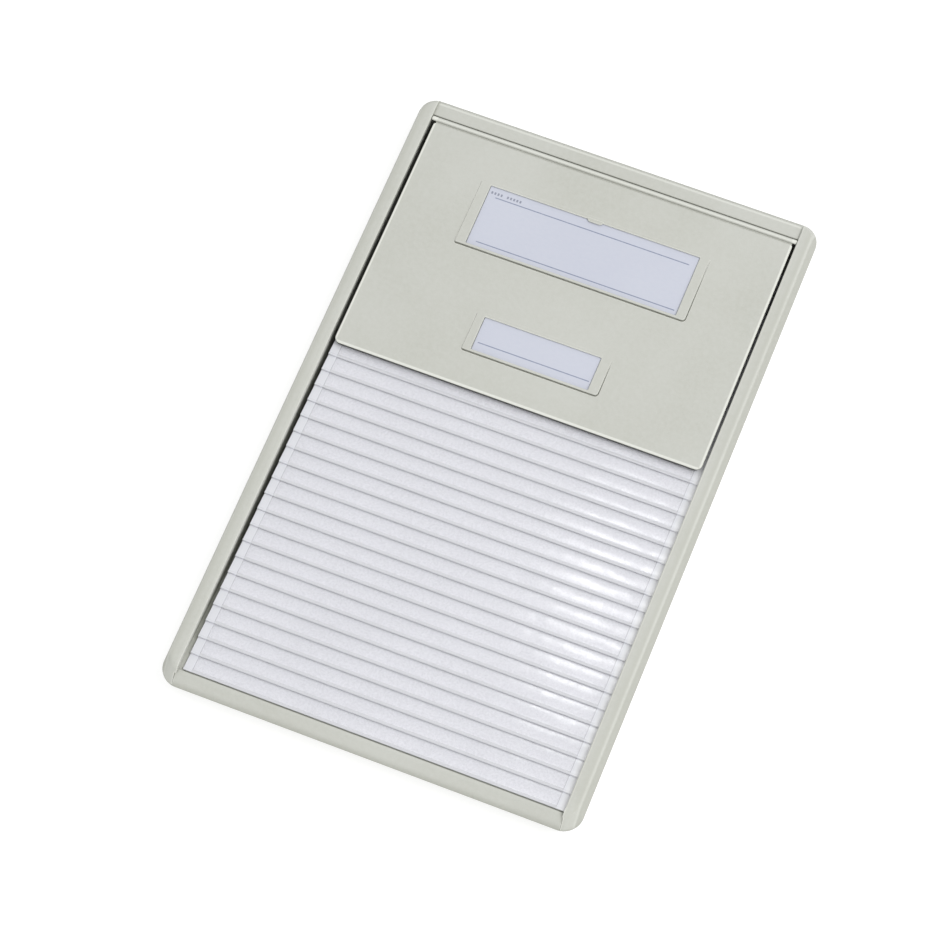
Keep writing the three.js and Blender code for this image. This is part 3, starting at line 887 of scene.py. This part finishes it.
def make_cover_barrel():
    """Hinge barrel with its pins, and the thin web that joins it to the plate."""
    barrel = Shape()
    barrel.rod_x(BARREL_R, (-BARREL_X + 0.42, BARREL_X), n=40, edge=0.15)
    for side in (-1, 1):
        barrel.rod_x(0.6, (side * (BARREL_X - 1.5), side * 67.7), n=28, edge=0.1)
    web_s = HINGE_S + 0.1
    web = [(web_s, 15.95), (9.4, 15.95), (9.4, 16.55), (8.3, 16.5), (8.05, 16.52),
           (7.85, 16.62), (7.65, 16.8), (web_s, 17.0)]
    half = COVER_X - 0.5
    barrel.along_x(web, [-half + PLAY_COVER, half + PLAY_COVER])
    mesh = make_mesh("cover_barrel", barrel, 42)
    piece("cover_barrel", mesh, GREY_COVER, "cover")


def make_cover_tab(label):
    """Retaining tab at the rear middle of a window, wider towards the rear."""
    half, flare = 2.4, 0.16
    rear, tip = label.rear - 0.7, label.rear + 0.85
    loops = []
    # inset, height over the plate's face
    for inset, height in ((0.12, -0.18), (0.0, -0.10), (0.0, 0.06), (0.05, 0.15), (0.16, 0.2)):
        points = []
        for x, y in plan_box(-half + inset + PLAY_COVER, half - inset + PLAY_COVER,
                             rear, tip - inset, [0.7, 0.7, 0.1, 0.1], 8):
            s = MID - y
            sunk = 0.17 if s < label.rear - 0.3 and height > 0 else 0.0
            wide_x = PLAY_COVER + (x - PLAY_COVER) * (1.0 + flare * (tip - s))
            points.append((wide_x, y, COVER_Z + height - sunk))
        loops.append(points)
    tab = Shape()
    tab.skin(loops)
    piece("cover_tab_" + label.name, make_mesh("tab", tab, 50), GREY_COVER, "cover")


def make_label_card(label, material):
    gap, tuck = 0.12, 1.1       # gap at the sides and front, reach under the rear edge
    z = COVER_Z - RECESS + 0.01
    card = Shape()
    card.skin([at_z(plan_box(label.left + gap + inset, label.right - gap - inset,
                             label.rear - tuck + inset, label.front - gap - inset, [0.4] * 4),
                    z + height)
               for inset, height in ((0.03, 0.0), (0.0, 0.03), (0.0, 0.19), (0.03, 0.22))])
    piece("label_card_" + label.name, make_mesh("label", card, 60), material, "cover",
          label.name + "_label_card")


make_cover_plate()
make_cover_barrel()
make_cover_tab(TITLE)
title_print = printed_label("title_label", rules=[(28.0, -34.2, 35.4), (45.7, -34.2, 36.7)],
                            dashes=(26.5, -36.3, -25.0, 10))
name_print = printed_label("name_label", rules=[(80.5, -19.6, 19.8)])
make_label_card(TITLE, title_print)
make_label_card(NAME, name_print)


# ---------------------------------------------------------------- leaves
# leaf coordinates: x across, y from the hinge (negative towards the front), z off the sheet
COS, SIN = math.cos(SLOPE), math.sin(SLOPE)
OUTER = LEAF_T / 2                      # half thickness of a pocket, outside and inside
INNER = OUTER - FILM_T
BEAD_Y, BEAD_Z = -(LEAF_LENGTH - BEAD_R), BEAD_R - OUTER - 0.02
SHEET_L, SHEET_R = -64.3, 65.9          # side edges of the sheet
TAIL_L, TAIL_R = -62.4, 64.2            # side edges of the narrower tail near the hinge
TAIL_Y = -17.0                          # where the tail starts
STRIP_Y = -80.5                         # rear end of the crowned front strip
PIN_END = 65.9


def leaf_place(k):
    """Takes a point from leaf coordinates to its place in the tray."""
    hinge_y = y_at(leaf_s(k))

    def place(x, y, z):
        return (x, hinge_y + y * COS + z * SIN, LEAF_Z - y * SIN + z * COS)
    return place


def leaf_mesh(name, shape, sharp, k):
    """A mesh with its leaf coordinates kept as a map, so that a pattern follows the leaf."""
    mesh = make_mesh(name, shape, sharp)
    hinge_y = y_at(leaf_s(k)) * MM
    layer = mesh.uv_layers.new(name="leaf")
    for loop in mesh.loops:
        x, y, z = mesh.vertices[loop.vertex_index].co
        layer.data[loop.index].uv = (x, (y - hinge_y) * COS - (z - LEAF_Z * MM) * SIN)
    return mesh


def strip(half, end):
    """Upper side of the front strip, crowned very slightly between the pocket above and the
    rolled edge."""
    points = []
    for y in np.linspace(STRIP_Y, end, 12):
        t = (y + LEAF_LENGTH) / 7.5
        points.append((y, half + (0.085 * 4 * t * (1 - t) if 0 < t < 1 else 0.0)))
    return points


def pocket_sections():
    """(y, z) sections of the pocket's outside and inside."""
    outer = [(0.55, -OUTER), (0.7, -OUTER + 0.12), (0.7, OUTER - 0.12), (0.55, OUTER),
             (-20, OUTER), (-60, OUTER), (-79, OUTER)]
    outer += strip(OUTER, BEAD_Y + 0.42)
    outer += [(BEAD_Y + BEAD_R * math.cos(math.radians(a)),
               BEAD_Z + BEAD_R * math.sin(math.radians(a))) for a in np.linspace(66, 268, 15)]
    outer += [(BEAD_Y + 0.2, -OUTER), (-60, -OUTER), (-20, -OUTER)]
    inner = [(0.2, -INNER), (0.2, INNER), (-20, INNER), (-60, INNER), (-79, INNER)]
    inner += strip(INNER, BEAD_Y + 0.47)
    inner += [(BEAD_Y + 0.45, -INNER), (-60, -INNER), (-20, -INNER)]
    return outer, inner


def cut_short(points, limit):
    return [(min(y, limit), z) for y, z in points]


# x, thinning of each face, and whether the section stops short of the tail
POCKET_STATIONS = [
    (SHEET_L, 0.06, True), (SHEET_L + 0.06, 0.0, True), (TAIL_L - 0.03, 0.0, True),
    (TAIL_L, 0.0, False), *[(x, 0.0, False) for x in np.linspace(-56, 58, 13)],
    (TAIL_R, 0.0, False), (TAIL_R + 0.03, 0.0, True), (SHEET_R - 0.06, 0.0, True),
    (SHEET_R, 0.06, True),
]


def pocket(k):
    """A flat sleeve, open at the right, with a rolled front edge and two hinge pins."""
    place = leaf_place(k)
    outer, inner = pocket_sections()
    shape = Shape()
    outs, ins = [], []
    for x, thin, short in POCKET_STATIONS:
        section = cut_short(outer, TAIL_Y) if short else outer
        outs.append(shape.loop([place(x, y, z - thin if z > 0 else z + thin)
                                for y, z in section]))
        if x >= TAIL_L:
            section = cut_short(inner, TAIL_Y - 0.3) if short else inner
            ins.append(shape.loop([place(x, y, z) for y, z in section]))
    for a, b in zip(outs, outs[1:]):
        shape.bridge(a, b)
    for a, b in zip(ins, ins[1:]):
        shape.bridge(b, a)
    shape.cap(outs[0])
    shape.cap(ins[0])
    shape.fill([outs[-1], ins[-1]], drop_x=True)
    # hinge pins, each on a neck that stays within the tail's thickness; d points inwards
    for end, root, d in ((-PIN_END, TAIL_L - 0.05, 0.1), (PIN_END, TAIL_R + 0.05, -0.1)):
        rings = [(end, 0.5), (end + d, 0.6), (root - d, 0.6), (root, 0.5),
                 (root + 0.2 * d, 0.2), (root + 3.5 * d, 0.2)]
        if d < 0:
            rings.reverse()
        shape.skin([[place(x, r * a, r * b) for a, b in circle(20)] for x, r in rings])
    return leaf_mesh(f"pocket_{k + 1:02d}", shape, 40, k)


def index_card(k):
    place = leaf_place(k)
    half, length = 62.5, 75.0
    front = BEAD_Y + 0.49
    front_r, rear_r = 0.6, 2.2
    shape = Shape()
    loops = []
    for inset, z in ((0.03, -0.12), (0.0, -0.09), (0.0, 0.09), (0.03, 0.12)):
        outline = round_box(-half + PLAY_LEAF + inset, half + PLAY_LEAF - inset,
                            front + inset, front + length - inset,
                            [front_r, front_r, rear_r, rear_r], 5)
        loops.append([place(x, y, z) for x, y in outline])
    shape.skin(loops)
    return leaf_mesh(f"card_{k + 1:02d}", shape, 60, k)


for k in range(LEAVES):
    number = f"{k + 1:02d}"
    leaf = "leaf_" + number
    piece("sleeve_" + number, pocket(k), FILM, leaf, "pocket_" + number)
    piece("index_card_" + number, index_card(k), CARD, leaf, "card_" + number)


# ---------------------------------------------------------------- stage (metres)
def floor_material():
    """A pale table that glows."""
    t = Shader("floor_pale")
    cloud = t.noise(scale=3.0)
    fine = t.noise(scale=220, detail=3.0, rough=0.6)
    colour = t.mix(t.even(cloud), (0.42, 0.42, 0.418, 1), (0.43, 0.43, 0.428, 1))
    normal = t.bump(fine, distance=0.00005, strength=0.1)
    node = t.principled(colour, rough=0.85, normal=normal, specular=0.1)
    node.inputs["Emission Color"].default_value = (1.0, 1.0, 0.998, 1.0)
    node.inputs["Emission Strength"].default_value = 0.72
    return t.material


def make_floor(half):
    mesh = bpy.data.meshes.new("floor")
    corners = [(-half, -half, 0), (half, -half, 0), (half, half, 0), (-half, half, 0)]
    mesh.from_pydata(corners, [], [(0, 1, 2, 3)])
    mesh.materials.append(floor_material())
    add_object("floor", mesh)


def area_light(name, place, size, power, target=(0, 0, 0), colour=(1, 1, 1)):
    light = bpy.data.lights.new(name, "AREA")
    light.shape = "RECTANGLE"
    light.size, light.size_y = size
    light.energy = power
    light.color = colour
    ob = add_object(name, light)
    ob.location = place
    ob.rotation_mode = "QUATERNION"
    ob.rotation_quaternion = (Vector(target) - Vector(place)).to_track_quat("-Z", "Y")


def make_world():
    world = bpy.data.worlds.new("studio")
    scene.world = world
    world.use_nodes = True
    tree = world.node_tree
    tree.nodes.clear()
    output = tree.nodes.new("ShaderNodeOutputWorld")
    background = tree.nodes.new("ShaderNodeBackground")
    background.inputs["Color"].default_value = (0.985, 0.99, 1.0, 1)
    background.inputs["Strength"].default_value = 0.69
    tree.links.new(background.outputs[0], output.inputs["Surface"])


make_floor(half=6.0)
area_light("key", place=(1.0, -0.1, 1.9), size=(1.0, 1.0), power=21.0, colour=(1.0, 0.998, 0.99))
area_light("rear_card", place=(0.25, 1.15, 1.5), size=(0.5, 0.35), power=0.3)
area_light("glint", place=(-0.093, 0.637, 0.988), size=(0.035, 0.05), power=0.08,
           target=(0.05, -0.05, 0.015))
area_light("front_fill", place=(0.05, -1.7, 0.75), size=(1.2, 0.5), power=1.2)
make_world()

scene.view_settings.view_transform = "Standard"
scene.view_settings.look = "None"
scene.view_settings.exposure = 0.0
scene.view_settings.gamma = 1.0
scene.cycles.transparent_max_bounces = 40

# ---------------------------------------------------------------- camera
# its place in metres and its own right, up and backward directions
CAMERA_PLACE = (0.190309, -0.466304, 1.107845)
CAMERA_RIGHT = (0.92870016654411, 0.3706877259997025, -0.010325233852663096)
CAMERA_UP = (-0.3339658050359576, 0.8481533894193892, 0.4112209492269174)
CAMERA_BACK = (0.1611919406410491, -0.378452688997676, 0.9114772188391772)
lens = bpy.data.cameras.new("camera")
camera = add_object("camera", lens)
lens.sensor_width = 36.0
lens.lens = 139.5890526
lens.clip_start, lens.clip_end = 0.05, 30.0
camera.matrix_world = Matrix((*zip(CAMERA_RIGHT, CAMERA_UP, CAMERA_BACK, CAMERA_PLACE),
                              (0, 0, 0, 1)))
scene.camera = camera
